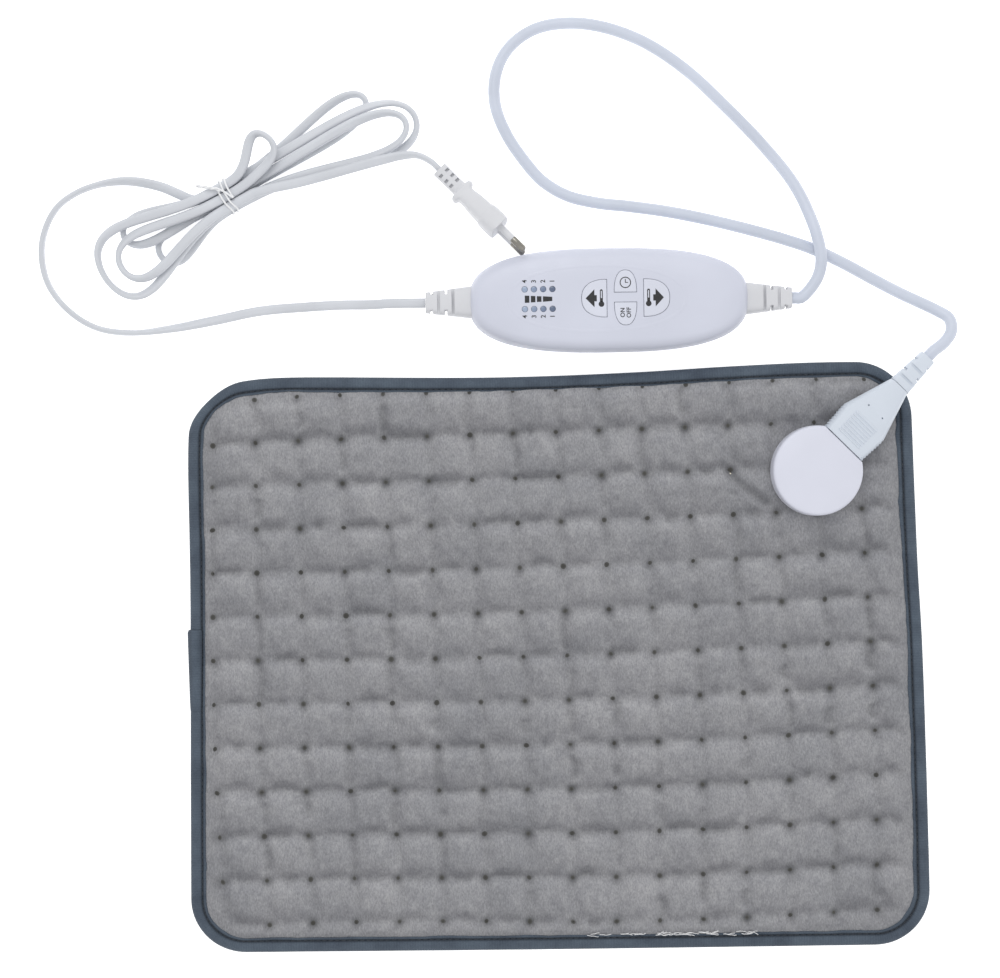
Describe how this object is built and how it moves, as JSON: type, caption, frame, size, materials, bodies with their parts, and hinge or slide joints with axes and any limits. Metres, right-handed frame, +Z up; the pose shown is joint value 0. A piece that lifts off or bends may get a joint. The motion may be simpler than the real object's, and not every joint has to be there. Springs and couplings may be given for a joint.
{
  "type": "heating pad with controller",
  "caption": "Tufted plush heating pad with a bound edge, a plug-in lead, a hand controller with sprung buttons and a flat mains plug.",
  "frame": {"origin": "centre of the pad's underside, on the surface that it lies on", "axes": "+X along the pad's long side, +Y along its short side towards the controller, +Z up"},
  "size_m": [0.508, 0.5177, 0.0353],
  "materials": {
    "plush": "short grey plush with a fine nap",
    "felt": "needled felt",
    "binding_tape": "woven slate tape",
    "wire_sheath": "matt silicone sheath",
    "white_plastic": "satin white moulding",
    "button_plastic": "matt white moulding",
    "relief_plastic": "soft white moulding",
    "cord_plastic": "soft white sheath",
    "tie_plastic": "coated wire",
    "clear_plastic": "translucent grey",
    "black_plastic": "moulded black",
    "film_plastic": "dipped yellow case",
    "board_laminate": "green laminate",
    "contact_brass": "turned brass",
    "pin_metal": "nickel plated",
    "steel": "zinc plated"
  },
  "bodies": {
    "pad": {"back_cover": "plush", "carrier_felt": "felt", "heating_wire": "wire_sheath", "thermostat": "black_plastic", "front_cover": "plush", "edge_binding": "binding_tape", "binding_lap": "binding_tape", "socket_housing": "white_plastic", "socket_back_plate": "white_plastic", "socket_pin_1": "contact_brass", "socket_pin_2": "contact_brass", "socket_pin_3": "contact_brass", "socket_screw_1": "steel", "socket_screw_2": "steel"},
    "lead": {"connector_upper_shell": "white_plastic", "connector_lower_shell": "white_plastic", "connector_nose": "white_plastic", "connector_contact_1": "contact_brass", "connector_contact_2": "contact_brass", "connector_contact_3": "contact_brass", "connector_relief": "relief_plastic", "pad_cord": "cord_plastic", "controller_upper_shell": "white_plastic", "controller_lower_shell": "white_plastic", "circuit_board": "board_laminate", "dropper_capacitor": "film_plastic", "triac": "black_plastic", "control_chip": "black_plastic", "led_strip_heat": "clear_plastic", "led_strip_time": "clear_plastic", "light_guide_heat": "clear_plastic", "light_guide_time": "clear_plastic", "switch_base_heat_down": "black_plastic", "switch_base_heat_up": "black_plastic", "switch_base_timer": "black_plastic", "switch_base_power": "black_plastic", "case_screw_1": "steel", "case_screw_2": "steel", "case_screw_3": "steel", "case_screw_4": "steel", "cord_clamp_left": "white_plastic", "cord_clamp_right": "white_plastic", "controller_relief_left": "relief_plastic", "controller_relief_right": "relief_plastic", "mains_cord": "cord_plastic", "mains_cord_hank": "cord_plastic", "mains_cord_tail": "cord_plastic", "hank_tie": "tie_plastic", "plug_body": "relief_plastic", "plug_pin_1": "pin_metal", "plug_pin_2": "pin_metal"},
    "heat_down": {"button_heat_down": "button_plastic", "switch_plunger_heat_down": "black_plastic"},
    "heat_up": {"button_heat_up": "button_plastic", "switch_plunger_heat_up": "black_plastic"},
    "timer": {"button_timer": "button_plastic", "switch_plunger_timer": "black_plastic"},
    "power": {"button_power": "button_plastic", "switch_plunger_power": "black_plastic"}
  },
  "joints": [
    {"name": "lead_unplug", "type": "slide", "parent": "pad", "child": "lead", "axis": [0.7193, 0.6947, 0], "range_m": [0, 0.03]},
    {"name": "heat_down_press", "type": "slide", "parent": "lead", "child": "heat_down", "axis": [0, 0, -1], "range_m": [0, 0.0008], "stiffness_N_per_m": 1500, "springref_m": -0.0005},
    {"name": "heat_up_press", "type": "slide", "parent": "lead", "child": "heat_up", "axis": [0, 0, -1], "range_m": [0, 0.0008], "stiffness_N_per_m": 1500, "springref_m": -0.0005},
    {"name": "timer_press", "type": "slide", "parent": "lead", "child": "timer", "axis": [0, 0, -1], "range_m": [0, 0.0008], "stiffness_N_per_m": 1500, "springref_m": -0.0005},
    {"name": "power_press", "type": "slide", "parent": "lead", "child": "power", "axis": [0, 0, -1], "range_m": [0, 0.0008], "stiffness_N_per_m": 1500, "springref_m": -0.0005}
  ]
}
